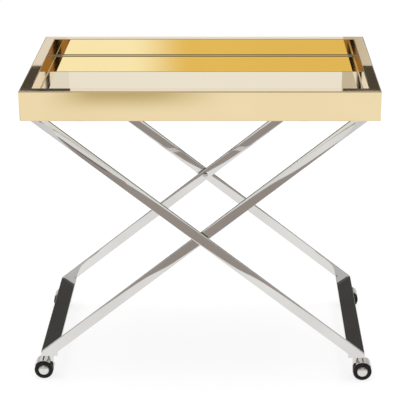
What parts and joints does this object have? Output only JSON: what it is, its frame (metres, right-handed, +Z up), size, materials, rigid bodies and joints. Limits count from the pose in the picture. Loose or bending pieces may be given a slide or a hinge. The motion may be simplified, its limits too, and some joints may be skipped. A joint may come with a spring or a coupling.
{
  "type": "bar cart",
  "caption": "Rectangular mirror tray with a raised gilt rim on crossed polished flat-bar frames, rolling on hooded twin-wheel casters.",
  "frame": {"origin": "on the floor under the middle of the cart", "axes": "+X along the tray's long side, +Y to the back, +Z up"},
  "size_m": [0.889, 0.535, 0.8],
  "materials": {
    "gilt_steel": "mirror-polished gold-coloured steel sheet, roughness about 0.05",
    "chrome": "mirror-polished stainless bar and chromed caster parts, roughness about 0.04",
    "mirror": "silvered mirror glass with a faint warm tint, flat and clean",
    "steel": "plain bright steel on bolts, washers, screws, stems and axles",
    "tyre": "black moulded wheel, satin, roughness about 0.4",
    "collar": "black swivel collar under the bar",
    "timber": "plain timber battens hidden in the rim",
    "board": "dark stained board under the mirror, matt"
  },
  "bodies": {
    "root": {"base_board": "board", "caster_back_left_collar": "collar", "caster_back_left_stem": "steel", "caster_back_right_collar": "collar", "caster_back_right_stem": "steel", "caster_front_left_collar": "collar", "caster_front_left_stem": "steel", "caster_front_right_collar": "collar", "caster_front_right_stem": "steel", "inner_foot_bar": "chrome", "inner_leg_back": "chrome", "inner_leg_front": "chrome", "inner_top_bar": "chrome", "mirror_base": "mirror", "outer_foot_bar": "chrome", "outer_leg_back": "chrome", "outer_leg_front": "chrome", "outer_top_bar": "chrome", "pivot_bolt_back": "steel", "pivot_bolt_front": "steel", "pivot_washer_back": "steel", "pivot_washer_front": "steel", "rim_back": "gilt_steel", "rim_core_back": "timber", "rim_core_front": "timber", "rim_core_left": "timber", "rim_core_right": "timber", "rim_front": "gilt_steel", "rim_left": "gilt_steel", "rim_right": "gilt_steel", "tray_screw_back_left": "steel", "tray_screw_back_right": "steel", "tray_screw_front_left": "steel", "tray_screw_front_right": "steel"},
    "caster_front_right_swivel": {"caster_front_right_housing": "chrome", "caster_front_right_axle": "steel"},
    "caster_front_right_front_wheel": {"caster_front_right_wheel_front": "tyre", "caster_front_right_cap_front": "chrome"},
    "caster_front_right_back_wheel": {"caster_front_right_wheel_back": "tyre", "caster_front_right_cap_back": "chrome"},
    "caster_back_right_swivel": {"caster_back_right_housing": "chrome", "caster_back_right_axle": "steel"},
    "caster_back_right_front_wheel": {"caster_back_right_wheel_front": "tyre", "caster_back_right_cap_front": "chrome"},
    "caster_back_right_back_wheel": {"caster_back_right_wheel_back": "tyre", "caster_back_right_cap_back": "chrome"},
    "caster_front_left_swivel": {"caster_front_left_housing": "chrome", "caster_front_left_axle": "steel"},
    "caster_front_left_front_wheel": {"caster_front_left_wheel_front": "tyre", "caster_front_left_cap_front": "chrome"},
    "caster_front_left_back_wheel": {"caster_front_left_wheel_back": "tyre", "caster_front_left_cap_back": "chrome"},
    "caster_back_left_swivel": {"caster_back_left_housing": "chrome", "caster_back_left_axle": "steel"},
    "caster_back_left_front_wheel": {"caster_back_left_wheel_front": "tyre", "caster_back_left_cap_front": "chrome"},
    "caster_back_left_back_wheel": {"caster_back_left_wheel_back": "tyre", "caster_back_left_cap_back": "chrome"}
  },
  "joints": [
    {"name": "caster_front_right_swivel", "type": "hinge", "parent": "root", "child": "caster_front_right_swivel", "pos_m": [0.402, -0.223, 0.0658], "axis": [0, 0, 1], "continuous": true},
    {"name": "caster_front_right_front_spin", "type": "hinge", "parent": "caster_front_right_swivel", "child": "caster_front_right_front_wheel", "pos_m": [0.42, -0.2355, 0.0245], "axis": [0, 1, 0], "continuous": true},
    {"name": "caster_front_right_back_spin", "type": "hinge", "parent": "caster_front_right_swivel", "child": "caster_front_right_back_wheel", "pos_m": [0.42, -0.2105, 0.0245], "axis": [0, 1, 0], "continuous": true},
    {"name": "caster_back_right_swivel", "type": "hinge", "parent": "root", "child": "caster_back_right_swivel", "pos_m": [0.402, 0.223, 0.0658], "axis": [0, 0, 1], "continuous": true},
    {"name": "caster_back_right_front_spin", "type": "hinge", "parent": "caster_back_right_swivel", "child": "caster_back_right_front_wheel", "pos_m": [0.42, 0.2105, 0.0245], "axis": [0, 1, 0], "continuous": true},
    {"name": "caster_back_right_back_spin", "type": "hinge", "parent": "caster_back_right_swivel", "child": "caster_back_right_back_wheel", "pos_m": [0.42, 0.2355, 0.0245], "axis": [0, 1, 0], "continuous": true},
    {"name": "caster_front_left_swivel", "type": "hinge", "parent": "root", "child": "caster_front_left_swivel", "pos_m": [-0.402, -0.212, 0.0658], "axis": [0, 0, 1], "continuous": true},
    {"name": "caster_front_left_front_spin", "type": "hinge", "parent": "caster_front_left_swivel", "child": "caster_front_left_front_wheel", "pos_m": [-0.42, -0.2245, 0.0245], "axis": [0, 1, 0], "continuous": true},
    {"name": "caster_front_left_back_spin", "type": "hinge", "parent": "caster_front_left_swivel", "child": "caster_front_left_back_wheel", "pos_m": [-0.42, -0.1995, 0.0245], "axis": [0, 1, 0], "continuous": true},
    {"name": "caster_back_left_swivel", "type": "hinge", "parent": "root", "child": "caster_back_left_swivel", "pos_m": [-0.402, 0.212, 0.0658], "axis": [0, 0, 1], "continuous": true},
    {"name": "caster_back_left_front_spin", "type": "hinge", "parent": "caster_back_left_swivel", "child": "caster_back_left_front_wheel", "pos_m": [-0.42, 0.1995, 0.0245], "axis": [0, 1, 0], "continuous": true},
    {"name": "caster_back_left_back_spin", "type": "hinge", "parent": "caster_back_left_swivel", "child": "caster_back_left_back_wheel", "pos_m": [-0.42, 0.2245, 0.0245], "axis": [0, 1, 0], "continuous": true}
  ]
}
